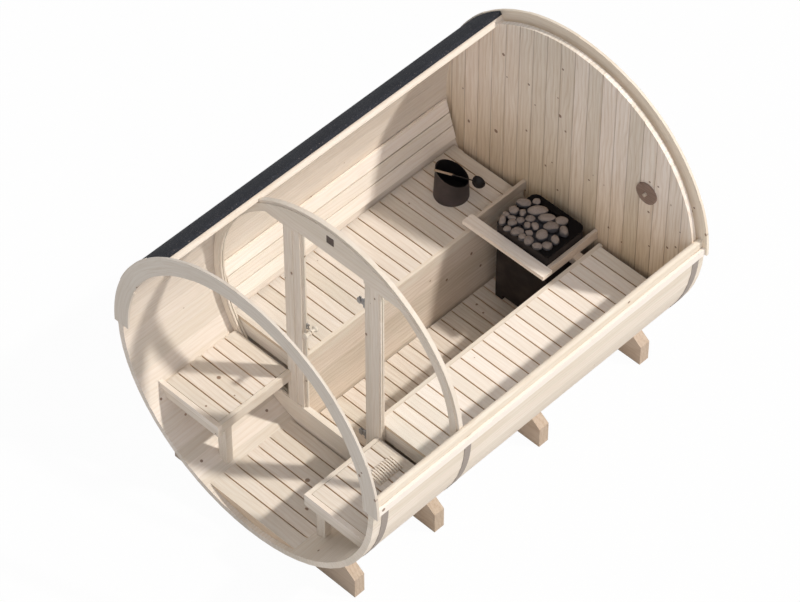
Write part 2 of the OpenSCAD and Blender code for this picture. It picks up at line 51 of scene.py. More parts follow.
ROOT_BODY = "sauna"

Color = tuple[float, float, float]
Point = tuple[float, float, float]
Span = tuple[float, float]
Socket = bpy.types.NodeSocket
Sockets = tuple[Socket, Socket, Socket]

WHITE: Color = (1.0, 1.0, 1.0)
# Most values of a noise texture lie between these two.
NOISE_SPAN: Span = (0.3, 0.7)
# Blender's mix node has its colour sockets at these numbers.
MIX_A, MIX_B, MIX_RESULT = 6, 7, 2


class Axis(Enum):
    """Direction that a board's grain or a row of boards runs in."""

    X = 0
    Y = 1
    Z = 2
    ROUND = 3
    RADIUS = 4

    @property
    def straight(self) -> bool:
        """Whether the direction is one of the frame's own axes."""
        return self in (Axis.X, Axis.Y, Axis.Z)


@dataclass(frozen=True)
class Barrel:
    """Main sizes of the barrel, in metres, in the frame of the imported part."""

    axis_z: float = 1.17
    radius: float = 1.1
    length: float = 2.95
    stave_pitch: float = math.radians(6.0)
    cut_angle: float = math.radians(125.5)

    @property
    def front(self) -> float:
        """Y of the stave ends at the porch."""
        return -self.length / 2

    def y(self, depth: float) -> float:
        """Y of a point at a depth behind the stave ends."""
        return self.front + depth

    def z(self, height: float) -> float:
        """Z of a point at a height over the barrel's axis."""
        return self.axis_z + height


BARREL = Barrel()


class Graph:
    """Small helper that adds shader nodes to one material and links them."""

    def __init__(self, name: str) -> None:
        """Starts an empty material.

        Args:
            name: Name of the material.
        """
        self.material = bpy.data.materials.new(name)
        self.material.use_nodes = True
        self.tree = self.material.node_tree
        self.tree.nodes.clear()
        self.output = self.tree.nodes.new("ShaderNodeOutputMaterial")

    def node(self, kind: str, **settings: object) -> bpy.types.Node:
        """Adds a node.

        Args:
            kind: Blender's node type, without its ShaderNode prefix.
            **settings: Attributes of the node.

        Returns:
            The new node.
        """
        made = self.tree.nodes.new("ShaderNode" + kind)
        for key, value in settings.items():
            setattr(made, key, value)
        return made

    def plug(self, socket: Socket, value: object) -> None:
        """Links or sets one input socket.

        Args:
            socket: Input to feed.
            value: Another node's output, or a plain value.
        """
        if isinstance(value, bpy.types.NodeSocket):
            self.tree.links.new(value, socket)
        elif isinstance(value, tuple) and len(value) == 3 and socket.type == "RGBA":
            socket.default_value = (*value, 1.0)
        else:
            socket.default_value = value

    def math(self, operation: str, a: object, b: object = 0.0) -> Socket:
        """Adds a math node.

        Args:
            operation: Blender's name of the operation.
            a: First operand.
            b: Second operand.

        Returns:
            The result's socket.
        """
        made = self.node("Math", operation=operation)
        self.plug(made.inputs[0], a)
        self.plug(made.inputs[1], b)
        return made.outputs[0]

    def plus(self, a: object, b: object) -> Socket:
        """Adds two numbers."""
        return self.math("ADD", a, b)

    def minus(self, a: object, b: object) -> Socket:
        """Takes the second number from the first."""
        return self.math("SUBTRACT", a, b)

    def times(self, a: object, b: object) -> Socket:
        """Multiplies two numbers."""
        return self.math("MULTIPLY", a, b)

    def away(self, x: Socket, y: Socket, at_x: float, at_y: float) -> Socket:
        """Measures how far a point is from a place in a plane.

        Args:
            x: First coordinate of the point.
            y: Second coordinate of the point.
            at_x: First coordinate of the place.
            at_y: Second coordinate of the place.

        Returns:
            The square of the distance.
        """
        side = self.math("POWER", self.minus(x, at_x), 2.0)
        rise = self.math("POWER", self.minus(y, at_y), 2.0)
        return self.plus(side, rise)

    def split(self, vector: Socket) -> Sockets:
        """Takes a vector apart into its X, Y and Z sockets."""
        made = self.node("SeparateXYZ")
        self.plug(made.inputs[0], vector)
        return made.outputs[0], made.outputs[1], made.outputs[2]

    def point(self) -> Socket:
        """Returns the point in the part's own frame."""
        return self.node("TexCoord").outputs["Object"]

    def place(self) -> Sockets:
        """Returns the X, Y and Z sockets of the point in the part's own frame."""
        return self.split(self.point())

    def facing(self) -> Sockets:
        """Returns the X, Y and Z sockets of the surface's direction."""
        return self.split(self.node("NewGeometry").outputs["Normal"])

    def vector(self, x: object, y: object, z: object = 0.0) -> Socket:
        """Joins three numbers into one vector socket."""
        made = self.node("CombineXYZ")
        for socket, value in zip(made.inputs, (x, y, z)):
            self.plug(socket, value)
        return made.outputs[0]

    def noise(self, vector: Socket, scale: float, detail: float = 3.0, rough: float = 0.5) -> Socket:
        """Adds a noise texture.

        Args:
            vector: Where to read the noise.
            scale: Cells per metre.
            detail: Octaves.
            rough: Strength of the finer octaves.

        Returns:
            The noise value, from 0 to 1.
        """
        made = self.node("TexNoise")
        self.plug(made.inputs["Vector"], vector)
        self.plug(made.inputs["Scale"], scale)
        self.plug(made.inputs["Detail"], detail)
        self.plug(made.inputs["Roughness"], rough)
        return made.outputs[0]

    def span(
        self, value: Socket, low: float, high: float, to_low: float = 0.0, to_high: float = 1.0
    ) -> Socket:
        """Maps a range smoothly onto another.

        Args:
            value: Number to map.
            low: Start of its range.
            high: End of its range.
            to_low: Result at the start.
            to_high: Result at the end.

        Returns:
            The mapped number.
        """
        made = self.node("MapRange", interpolation_type="SMOOTHSTEP")
        for socket, number in zip(made.inputs, (value, low, high, to_low, to_high)):
            self.plug(socket, number)
        return made.outputs[0]

    def mix(self, share: object, a: object, b: object, blend: str = "MIX") -> Socket:
        """Mixes two colours.

        Args:
            share: How much of the second colour shows.
            a: First colour.
            b: Second colour.
            blend: Blender's name of the blending mode.

        Returns:
            The mixed colour.
        """
        made = self.node("Mix", data_type="RGBA", blend_type=blend)
        self.plug(made.inputs[0], share)
        self.plug(made.inputs[MIX_A], a)
        self.plug(made.inputs[MIX_B], b)
        return made.outputs[MIX_RESULT]

    def random(self, seed: Socket) -> Socket:
        """Gives a new number from 0 to 1 for each seed."""
        made = self.node("TexWhiteNoise", noise_dimensions="1D")
        self.plug(made.inputs["W"], seed)
        return made.outputs["Value"]

    def bump(self, height: Socket, strength: float, depth: float) -> Socket:
        """Adds a bump node.

        Args:
            height: Height map, from 0 to 1.
            strength: Share of the bump that shows.
            depth: Depth in metres for a full step of the height.

        Returns:
            The bent normal.
        """
        made = self.node("Bump")
        made.inputs["Strength"].default_value = strength
        made.inputs["Distance"].default_value = depth
        self.plug(made.inputs["Height"], height)
        return made.outputs[0]

    def join(self, share: Socket, a: Socket, b: Socket) -> bpy.types.Material:
        """Mixes two shaders and ends the graph.

        Args:
            share: How much of the second shader shows.
            a: First shader.
            b: Second shader.

        Returns:
            The finished material.
        """
        made = self.node("MixShader")
        for socket, value in zip(made.inputs, (share, a, b)):
            self.plug(socket, value)
        self.tree.links.new(made.outputs[0], self.output.inputs[0])
        return self.material

    def surface(self, **inputs: object) -> bpy.types.Material:
        """Adds the surface shader and ends the graph.

        Args:
            **inputs: Values or sockets by input name, with _ for a space.

        Returns:
            The finished material.
        """
        shader = self.node("BsdfPrincipled")
        for key, value in inputs.items():
            self.plug(shader.inputs[key.replace("_", " ")], value)
        self.tree.links.new(shader.outputs[0], self.output.inputs[0])
        return self.material


class Finish(Protocol):
    """Anything that can make the material of a piece."""

    def build(self) -> bpy.types.Material:
        """Makes the material."""


# Place of a knot along and across the grain, and its radius, in metres.
Knot = tuple[float, float, float]

STAVE_KNOTS: tuple[Knot, ...] = (
    (-1.3825, 1.7335, 0.010), (-1.2893, 1.9187, 0.009), (-1.2455, 1.949, 0.005), (-1.3858, 2.2252, 0.011),
    (-0.8132, 2.2248, 0.011), (-1.3794, 3.3475, 0.009), (-1.4284, 4.4875, 0.007),
)
RING_KNOTS: tuple[Knot, ...] = ((4.8643, 1.0622, 0.008), (4.8571, 1.146, 0.006))
BATTEN_KNOTS: tuple[Knot, ...] = ((-1.4100, 1.2100, 0.014),)
PORCH_SEAT_KNOTS: tuple[Knot, ...] = (
    (-0.6654, -1.0612, 0.015), (-0.5559, -1.277, 0.008), (-0.4902, -1.0943, 0.006),
)
PORCH_FLOOR_KNOTS: tuple[Knot, ...] = ((0.0477, -1.0006, 0.017),)
ROOM_FLOOR_KNOTS: tuple[Knot, ...] = ((-0.2022, 0.8041, 0.009), (-0.1219, 0.7818, 0.008))
SKIRT_KNOTS: tuple[Knot, ...] = ((0.6421, 0.4629, 0.011), (0.9545, 0.3593, 0.011), (0.8774, 0.5272, 0.012))
WALL_KNOTS: tuple[Knot, ...] = (
    (1.8075, -0.5632, 0.013), (1.0801, -0.6089, 0.016), (2.023, -0.0628, 0.009), (1.6951, -0.3411, 0.010),
    (1.6047, -0.0698, 0.014), (1.5017, -0.0182, 0.009), (1.2741, -0.3463, 0.009), (1.5522, -0.2825, 0.006),
    (1.6313, -0.5277, 0.006), (1.7495, -0.0932, 0.006), (1.0765, -0.173, 0.009), (1.1439, -0.1191, 0.006),
    (0.9293, -0.0621, 0.009), (0.722, -0.3404, 0.008), (1.5606, 0.6894, 0.008), (1.5699, 0.7592, 0.008),
    (1.2926, 0.6965, 0.010), (0.9074, 0.3809, 0.009), (0.9931, 0.7199, 0.007), (0.8564, 0.4937, 0.006),
    (1.092, 0.8671, 0.010), (1.1466, 0.9334, 0.009), (1.3029, 0.9583, 0.006), (1.2142, 0.1961, 0.008),
)

# Multiplies the wood's colour on the narrow faces beside a gap, as painted shade that browns the gaps.
PAINTED_GAP_SHADE: Color = (0.97, 0.85, 0.72)


@dataclass(frozen=True)
class Grain:
    """Numbers that every spruce finish shares. Scales and rates are per metre."""

    board_shift: float = 37.0
    line_stretch: float = 0.035
    line_scale: float = 95.0
    line_detail: float = 4.0
    line_rough: float = 0.62
    line_span: Span = (0.36, 0.70)
    line_share: float = 0.62
    wander_stretch: float = 0.35
    wander_scale: float = 7.0
    wander_reach: float = 20.0
    flame_rate: float = 190.0
    flame_span: Span = (-0.2, 1.0)
    flame_share: float = 0.38
    cloud_stretch: float = 0.5
    cloud_scale: float = 4.0
    cloud_span: Span = (0.35, 0.75)
    cloud_share: float = 0.22
    broad_detail: float = 2.0
    pale_share: float = 0.8
    blue_power: float = 1.25
    knot_rates: Span = (6.5, 9.5)
    knot_sizes: Span = (0.035, 0.115)
    knot_fade: Span = (1.0, 0.55)
    knot_share: float = 0.82
    halo_fade: Span = (3.2, 0.9)
    halo_share: float = 0.35
    mark_fade: Span = (1.15, 0.7)
    seam_core: float = 0.2
    seam_share: float = 0.4
    seam_facing: float = -0.3
    edge_facing: float = 0.6
    rough_from: Span = (0.2, 0.8)
    rough_to: Span = (0.58, 0.74)
    shine: float = 0.28
    line_height: float = 0.8
    knot_height: float = 0.4
    bump_share: float = 0.22
    bump_depth: float = 0.0012


GRAIN = Grain()


@dataclass(frozen=True)
class Spruce:
    """Planed spruce in boards: grain along one direction, boards in a row along another."""

    name: str
    along: Axis
    across: Axis
    pitch: float = 0.1007
    start: float = 0.0
    light: Color = (0.86, 0.78, 0.685)
    dark: Color = (0.74, 0.63, 0.51)
    knot: Color = (0.20, 0.10, 0.05)
    knots: float = 0.16
    contrast: float = 0.75
    variety: float = 0.06
    seam: float = 0.0
    marks: tuple[Knot, ...] = ()
    # Painted shade: below a height span the wood is tinted darker and warmer towards the bottom.
    painted_shade_below: Span | None = None
    painted_shade_tint: Color = (0.85, 0.77, 0.64)
    # Painted shade for the narrow faces beside gaps.
    edge: Color | None = None
    swap_below: float | None = None
    swap_to: Axis = Axis.X

    def build(self) -> bpy.types.Material:
        """Makes the material.

        Returns:
            The finished material.
        """
        graph = Graph(self.name)
        place = graph.place()
        along, across, depth = self._directions(graph, place)
        row = graph.math("DIVIDE", graph.minus(across, self.start), self.pitch)
        chance = graph.random(graph.math("FLOOR", row))
        run = graph.plus(along, graph.times(chance, GRAIN.board_shift))

        lines, figure = self._figure(graph, run, across, depth)
        color = graph.mix(graph.times(figure, self.contrast), self.light, self.dark)
        cloudy = graph.vector(graph.times(run, GRAIN.cloud_stretch), across, depth)
        cloud = graph.noise(cloudy, GRAIN.cloud_scale, GRAIN.broad_detail)
        color = graph.mix(graph.span(cloud, *GRAIN.cloud_span, 0.0, GRAIN.cloud_share), color, self.dark)
        tone = graph.span(chance, 0.0, 1.0, 1.0 - self.variety, 1.0 + GRAIN.pale_share * self.variety)
        tint = graph.vector(tone, tone, graph.math("POWER", tone, GRAIN.blue_power))
        color = graph.mix(1.0, color, tint, "MULTIPLY")
        # Painted shade, darker and warmer towards the bottom.
        if self.painted_shade_below is not None:
            color = graph.mix(graph.span(place[2], *self.painted_shade_below, 1.0, 0.0), color, self.painted_shade_tint, "MULTIPLY")

        spot, halo = self._knots(graph, run, across)
        color = graph.mix(graph.times(halo, GRAIN.halo_share), color, self.dark)
        for mark in self.marks:
            spot = graph.math("MAXIMUM", spot, self._mark(graph, along, across, mark))
        color = graph.mix(graph.times(spot, GRAIN.knot_share), color, self.knot)
        # Dark joint lines: dirt in the grooves and painted groove shade.
        if self.seam > 0.0:
            color = graph.mix(self._seams(graph, row), color, self.knot)
        # Painted shade on the narrow faces that look into the gaps between boards.
        if self.edge is not None:
            between = graph.math("ABSOLUTE", graph.facing()[self.across.value])
            narrow = graph.math("GREATER_THAN", between, GRAIN.edge_facing)
            color = graph.mix(narrow, color, self.edge, "MULTIPLY")
        height = graph.minus(graph.times(figure, GRAIN.line_height), graph.times(spot, GRAIN.knot_height))
        return graph.surface(
            Base_Color=color,
            Roughness=graph.span(lines, *GRAIN.rough_from, *GRAIN.rough_to),
            Specular_IOR_Level=GRAIN.shine,
            Normal=graph.bump(height, GRAIN.bump_share, GRAIN.bump_depth),
        )

    def _coordinate(self, graph: Graph, axis: Axis, place: Sockets) -> Socket:
        """Gives the coordinate along an axis, straight or round the barrel.

        Args:
            graph: Material that is being made.
            axis: Direction asked for.
            place: X, Y and Z of the point.

        Returns:
            The coordinate in metres.
        """
        if axis.straight:
            return place[axis.value]
        height = graph.minus(place[2], BARREL.axis_z)
        if axis is Axis.RADIUS:
            square = graph.plus(graph.times(place[0], place[0]), graph.times(height, height))
            return graph.math("SQRT", square)
        turn = graph.math("ARCTAN2", height, place[0])
        whole = graph.math("FLOORED_MODULO", graph.minus(turn, BARREL.cut_angle), math.tau)
        return graph.times(whole, BARREL.radius)

    def _directions(self, graph: Graph, place: Sockets) -> Sockets:
        """Gives a point's coordinates in its board, with the caps of rails turned.

        Args:
            graph: Material that is being made.
            place: X, Y and Z of the point.

        Returns:
            The coordinates along the grain, across the boards and into them.
        """
        along = self._coordinate(graph, self.along, place)
        across = self._coordinate(graph, self.across, place)
        rest = next(a for a in (Axis.Z, Axis.RADIUS, Axis.X, Axis.Y) if self._is_free(a))
        depth = self._coordinate(graph, rest, place)
        if self.swap_below is None:
            return along, across, depth
        cap = graph.math("LESS_THAN", place[1], self.swap_below)
        other = self._coordinate(graph, self.swap_to, place)
        return self._switch(graph, cap, along, other), self._switch(graph, cap, across, depth), depth

    def _is_free(self, axis: Axis) -> bool:
        """Tells whether an axis can be the depth of the boards.

        Args:
            axis: Axis in question.

        Returns:
            True for an axis that is neither the grain's nor the row's and fits the boards' bend.
        """
        if axis in (self.along, self.across):
            return False
        if Axis.ROUND in (self.along, self.across):
            return axis in (Axis.RADIUS, Axis.Y)
        return axis is not Axis.RADIUS

    def _switch(self, graph: Graph, share: Socket, a: Socket, b: Socket) -> Socket:
        """Gives the second number where share is 1 and the first elsewhere."""
        return graph.plus(a, graph.times(share, graph.minus(b, a)))

    def _figure(self, graph: Graph, run: Socket, across: Socket, depth: Socket) -> tuple[Socket, Socket]:
        """Draws the wood's lines and flames.

        Args:
            graph: Material that is being made.
            run: Coordinate along the grain, shifted for each board.
            across: Coordinate across the boards.
            depth: Coordinate into the boards.

        Returns:
            The fine lines alone, and the whole figure.
        """
        fine = graph.vector(graph.times(run, GRAIN.line_stretch), across, depth)
        lines = graph.noise(fine, GRAIN.line_scale, GRAIN.line_detail, GRAIN.line_rough)
        broad = graph.vector(graph.times(run, GRAIN.wander_stretch), across, depth)
        wander = graph.noise(broad, GRAIN.wander_scale, GRAIN.broad_detail)
        waves = graph.plus(graph.times(across, GRAIN.flame_rate), graph.times(wander, GRAIN.wander_reach))
        flame = graph.math("SINE", waves)
        figure = graph.plus(
            graph.times(graph.span(lines, *GRAIN.line_span), GRAIN.line_share),
            graph.times(graph.span(flame, *GRAIN.flame_span), GRAIN.flame_share),
        )
        return lines, figure

    def _mark(self, graph: Graph, along: Socket, across: Socket, mark: Knot) -> Socket:
        """Finds one knot at a known place.

        Args:
            graph: Material that is being made.
            along: Coordinate along the grain.
            across: Coordinate across the boards.
            mark: The knot.

        Returns:
            Mask of the knot.
        """
        at_along, at_across, radius = mark
        away = graph.math("SQRT", graph.away(along, across, at_along, at_across))
        outer, inner = GRAIN.mark_fade
        return graph.span(away, radius * outer, radius * inner)

    def _seams(self, graph: Graph, row: Socket) -> Socket:
        """Finds the dark joints between boards, on the side that faces the porch: dirt in the grooves, and
        their painted shade.

        Args:
            graph: Material that is being made.
            row: Number of the board, with the place across it as a fraction.

        Returns:
            Mask of the joints.
        """
        share = graph.math("FRACT", row)
        edge = graph.math("MINIMUM", share, graph.minus(1.0, share))
        outer, inner = self.seam / self.pitch, GRAIN.seam_core * self.seam / self.pitch
        line = graph.span(edge, outer, inner, 0.0, GRAIN.seam_share)
        return graph.times(line, graph.math("LESS_THAN", graph.facing()[1], GRAIN.seam_facing))

    def _knots(self, graph: Graph, run: Socket, across: Socket) -> tuple[Socket, Socket]:
        """Scatters knots over the boards.

        Args:
            graph: Material that is being made.
            run: Coordinate along the grain, shifted for each board.
            across: Coordinate across the boards.

        Returns:
            Mask of the knots and mask of the grain round them.
        """
        rate_along, rate_across = GRAIN.knot_rates
        cells = graph.node("TexVoronoi", voronoi_dimensions="2D")
        where = graph.vector(graph.times(run, rate_along), graph.times(across, rate_across))
        graph.plug(cells.inputs["Vector"], where)
        cells.inputs["Scale"].default_value = 1.0
        parts = graph.node("SeparateColor")
        graph.plug(parts.inputs[0], cells.outputs["Color"])
        there = graph.math("LESS_THAN", parts.outputs[0], self.knots)
        size = graph.span(parts.outputs[1], 0.0, 1.0, *GRAIN.knot_sizes)
        near = graph.math("DIVIDE", cells.outputs["Distance"], size)
        spot = graph.times(graph.span(near, *GRAIN.knot_fade), there)
        halo = graph.times(graph.span(near, *GRAIN.halo_fade), there)
        return spot, halo


@dataclass(frozen=True)
class Felt:
    """Roofing felt with mineral granules."""

    name: str = "roofing_felt"
    base: Color = (0.015, 0.017, 0.023)
    grain: Color = (0.075, 0.082, 0.100)
    chip: Color = (0.30, 0.25, 0.23)
    grit_scale: float = 420.0
    patch_scale: float = 9.0
    chip_scale: float = 115.0
    chip_share: float = 0.5
    bump_depth: float = 0.0025

    def build(self) -> bpy.types.Material:
        """Makes the material.

        Returns:
            The finished material.
        """
        graph = Graph(self.name)
        place = graph.point()
        grit = graph.noise(place, self.grit_scale, 2.0, 0.6)
        patch = graph.noise(place, self.patch_scale)
        share = graph.times(graph.span(grit, 0.45, 0.72), graph.span(patch, 0.25, 0.75, 0.45, 1.0))
        chips = graph.span(graph.noise(place, self.chip_scale, 1.0), 0.66, 0.74, 0.0, self.chip_share)
        return graph.surface(
            Base_Color=graph.mix(chips, graph.mix(share, self.base, self.grain), self.chip),
            Roughness=graph.span(grit, *NOISE_SPAN, 0.95, 0.72),
            Specular_IOR_Level=0.3,
            Normal=graph.bump(grit, 0.6, self.bump_depth),
        )


@dataclass(frozen=True)
class Steel:
    """Sheet or strap steel, brushed along one axis."""

    name: str
    base: Color = (0.46, 0.45, 0.44)
    worn: Color = (0.62, 0.61, 0.60)
    rough: float = 0.42
    metal: float = 0.85
    rough_spread: float = 0.14
    brush_stretch: float = 0.05
    brush_scale: float = 900.0
    patch_scale: float = 22.0
    bump_depth: float = 0.0004

    def build(self) -> bpy.types.Material:
        """Makes the material.

        Returns:
            The finished material.
        """
        graph = Graph(self.name)
        x, y, z = graph.place()
        strokes = graph.vector(graph.times(x, self.brush_stretch), y, graph.times(z, self.brush_stretch))
        brushed = graph.noise(strokes, self.brush_scale, 2.0)
        patch = graph.noise(graph.vector(x, y, z), self.patch_scale)
        share = graph.times(graph.span(brushed, *NOISE_SPAN), graph.span(patch, *NOISE_SPAN, 0.4, 1.0))
        return graph.surface(
            Base_Color=graph.mix(share, self.base, self.worn),
            Metallic=self.metal,
            Roughness=graph.span(patch, *NOISE_SPAN, self.rough, self.rough + self.rough_spread),
            Normal=graph.bump(brushed, 0.1, self.bump_depth),
        )


@dataclass(frozen=True)
class Cone:
    """Upright cone: its middle, and its radius at the ground, which shrinks by a share of the height."""

    x: float
    y: float
    radius: float
    shrink: float


@dataclass(frozen=True)
class BlackMetal:
    """Matt dark paint on sheet metal, a little dusty, near black on a sooty rim and with painted shade inside
    a hollow.
    """

    name: str
    base: Color = (0.026, 0.022, 0.021)
    dust: Color = (0.062, 0.050, 0.046)
    soot_and_painted_shade: Color = (0.007, 0.006, 0.006)
    rough: float = 0.55
    gloss: float = 0.4
    soot_above: float | None = None
    painted_shade_inside: Cone | None = None
    rough_spread: float = 0.16
    fine_scale: float = 700.0
    patch_scale: float = 6.0
    bump_depth: float = 0.0006

    def _soot_and_painted_shade(self, graph: Graph) -> Socket | float:
        """Finds where the paint is plain black: soot over a given height, painted shade inside a given cone.

        Args:
            graph: Material that is being made.

        Returns:
            1 over the given height or inside the given cone, and 0 elsewhere.
        """
        x, y, z = graph.place()
        if self.soot_above is not None:
            return graph.math("GREATER_THAN", z, self.soot_above)
        if self.painted_shade_inside is None:
            return 0.0
        cone = self.painted_shade_inside
        radius = graph.math("SQRT", graph.away(x, y, cone.x, cone.y))
        return graph.math("LESS_THAN", graph.plus(radius, graph.times(z, cone.shrink)), cone.radius)

    def build(self) -> bpy.types.Material:
        """Makes the material.

        Returns:
            The finished material.
        """
        graph = Graph(self.name)
        place = graph.point()
        fine = graph.noise(place, self.fine_scale, 2.0)
        patch = graph.noise(place, self.patch_scale, 4.0, 0.6)
        paint = graph.mix(graph.span(patch, 0.35, 0.75), self.base, self.dust)
        return graph.surface(
            # Near black: soot on the heater's rim, painted shade inside the bucket.
            Base_Color=graph.mix(self._soot_and_painted_shade(graph), paint, self.soot_and_painted_shade),
            Roughness=graph.span(patch, *NOISE_SPAN, self.rough, self.rough + self.rough_spread),
            Specular_IOR_Level=self.gloss,
            Normal=graph.bump(fine, 0.12, self.bump_depth),
        )


@dataclass(frozen=True)
class ClearGlass:
    """Clear float glass with a faint green tint."""

    name: str
    tint: Color = (0.975, 0.992, 0.986)
    tint_share: float = 0.5
    smear_scale: float = 5.0
    shine: float = 0.006
    grazing_shine: float = 0.3
    grazing_power: float = 5.0

    def build(self) -> bpy.types.Material:
        """Makes the material.

        Returns:
            The finished material.
        """
        graph = Graph(self.name)
        smear = graph.noise(graph.point(), self.smear_scale, 4.0, 0.6)
        gloss = graph.node("BsdfGlossy")
        graph.plug(gloss.inputs["Roughness"], graph.span(smear, *NOISE_SPAN, 0.01, 0.05))
        clear = graph.node("BsdfTransparent")
        tinted = graph.span(smear, 0.3, 0.8, 0.0, self.tint_share)
        graph.plug(clear.inputs[0], graph.mix(tinted, WHITE, self.tint))
        edge = graph.node("LayerWeight")
        edge.inputs["Blend"].default_value = 0.5
        grazing = graph.math("POWER", edge.outputs["Facing"], self.grazing_power)
        share = graph.plus(graph.times(grazing, self.grazing_shine), self.shine)
        return graph.join(share, clear.outputs[0], gloss.outputs[0])


@dataclass(frozen=True)
class Hub:
    """Round spot on an upright face: its middle and its radius."""

    x: float
    z: float
    radius: float


@dataclass(frozen=True)
class HeatedWood:
    """Brown heat-treated wood, turned, with a second tone in one part of the piece."""

    name: str
    light: Color = (0.30, 0.185, 0.105)
    dark: Color = (0.12, 0.065, 0.035)
    second: Color = (0.03, 0.026, 0.024)
    second_from: float | None = None
    hub: Hub | None = None
    line_stretch: float = 0.06
    line_scale: float = 260.0
    patch_scale: float = 14.0
    bump_depth: float = 0.0008

    def _second_mask(self, graph: Graph, x: Socket, z: Socket) -> Socket | float:
        """Finds where the second tone shows.

        Args:
            graph: Material that is being made.
            x: X of the point.
            z: Z of the point.

        Returns:
            1 where the second tone shows, and 0 elsewhere.
        """
        if self.second_from is not None:
            return graph.math("GREATER_THAN", x, self.second_from)
        if self.hub is None:
            return 0.0
        return graph.math("LESS_THAN", graph.away(x, z, self.hub.x, self.hub.z), self.hub.radius ** 2)

    def build(self) -> bpy.types.Material:
        """Makes the material.

        Returns:
            The finished material.
        """
        graph = Graph(self.name)
        x, y, z = graph.place()
        lines = graph.noise(graph.vector(graph.times(x, self.line_stretch), y, z), self.line_scale)
        patch = graph.noise(graph.vector(x, y, z), self.patch_scale, 2.0)
        share = graph.times(graph.span(lines, *NOISE_SPAN), graph.span(patch, *NOISE_SPAN, 0.5, 1.0))
        wood = graph.mix(share, self.light, self.dark)
        return graph.surface(
            Base_Color=graph.mix(self._second_mask(graph, x, z), wood, self.second),
            Roughness=graph.span(patch, *NOISE_SPAN, 0.5, 0.68),
            Specular_IOR_Level=0.35,
            Normal=graph.bump(lines, 0.2, self.bump_depth),
        )


@dataclass(frozen=True)
class Rock:
    """Rounded heater stones, each a little different in tone, with painted shade on their flanks and low down
    in the heap.
    """

    name: str = "heater_rock"
    pale: Color = (0.36, 0.30, 0.26)
    dim: Color = (0.22, 0.185, 0.165)
    speck: Color = (0.06, 0.055, 0.055)
    # Painted shade: its colour, the facing span and share for the stones' flanks, then the height span and
    # share low in the heap.
    painted_shade_tone: Color = (0.045, 0.05, 0.06)
    painted_shade_facing_span: Span = (0.25, 0.7)
    painted_shade_facing_share: float = 0.85
    painted_low_shade_span: Span = (0.866, 0.894)
    painted_low_shade_share: float = 0.9
    stone_share: float = 0.6
    patch_share: float = 0.4
    patch_scale: float = 45.0
    speck_scale: float = 380.0
    speck_share: float = 0.4
    bump_depth: float = 0.003

    def build(self) -> bpy.types.Material:
        """Makes the material.

        Returns:
            The finished material.
        """
        graph = Graph(self.name)
        place = graph.point()
        each = graph.node("NewGeometry").outputs["Random Per Island"]
        patch = graph.noise(place, self.patch_scale, 4.0, 0.6)
        speck = graph.noise(place, self.speck_scale, 2.0, 0.6)
        patched = graph.times(graph.span(patch, *NOISE_SPAN), self.patch_share)
        color = graph.mix(graph.plus(graph.times(each, self.stone_share), patched), self.pale, self.dim)
        color = graph.mix(graph.span(speck, 0.56, 0.7, 0.0, self.speck_share), color, self.speck)
        # Painted shade: stones go dark where they face sideways and low in the heap.
        side_shade = graph.span(graph.facing()[2], *self.painted_shade_facing_span, self.painted_shade_facing_share, 0.0)
        low_shade = graph.span(graph.place()[2], *self.painted_low_shade_span, self.painted_low_shade_share, 0.0)
        color = graph.mix(graph.math("MAXIMUM", side_shade, low_shade), color, self.painted_shade_tone)
        height = graph.plus(patch, graph.times(speck, self.speck_share))
        return graph.surface(
            Base_Color=color,
            Roughness=graph.span(patch, *NOISE_SPAN, 0.72, 0.9),
            Specular_IOR_Level=0.3,
            Normal=graph.bump(height, 0.45, self.bump_depth),
        )


def mesh_piece(name: str, build: bmesh.types.BMesh, finish: Finish, body: str) -> None:
    """Turns a mesh under construction into a piece that rides on a body.

    Args:
        name: Name of the piece.
        build: Mesh that was built, in metres, in the part's frame. It is freed.
        finish: Finish of the piece.
        body: Body that carries the piece.
    """
    data = bpy.data.meshes.new(name)
    bmesh.ops.recalc_face_normals(build, faces=build.faces)
    build.to_mesh(data)
    build.free()
    data.materials.append(finish.build())
    piece = bpy.data.objects.new(name, data)
    bpy.context.scene.collection.objects.link(piece)
    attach(piece, body)
    LOG.info("piece %s: %d faces on %s", name, len(data.polygons), body)


@dataclass
class Assembly:
    """Group of CAD nodes that are dressed together, with pieces of its own where it has any."""

    nodes: dict[str, bpy.types.Object]

    def put(self, finish: Finish, *names: str) -> None:
        """Puts one finish on nodes.

        Args:
            finish: Finish to use.
            *names: Nodes to dress.
        """
        material = finish.build()
        for name in names:
            slots = self.nodes[name].data.materials
            slots.clear()
            slots.append(material)
            LOG.info("dressed %s with %s", name, material.name)

    def dress(self) -> None:
        """Dresses the group's nodes."""
        raise NotImplementedError

    def build(self) -> None:
        """Adds the group's own pieces. Most groups have none."""


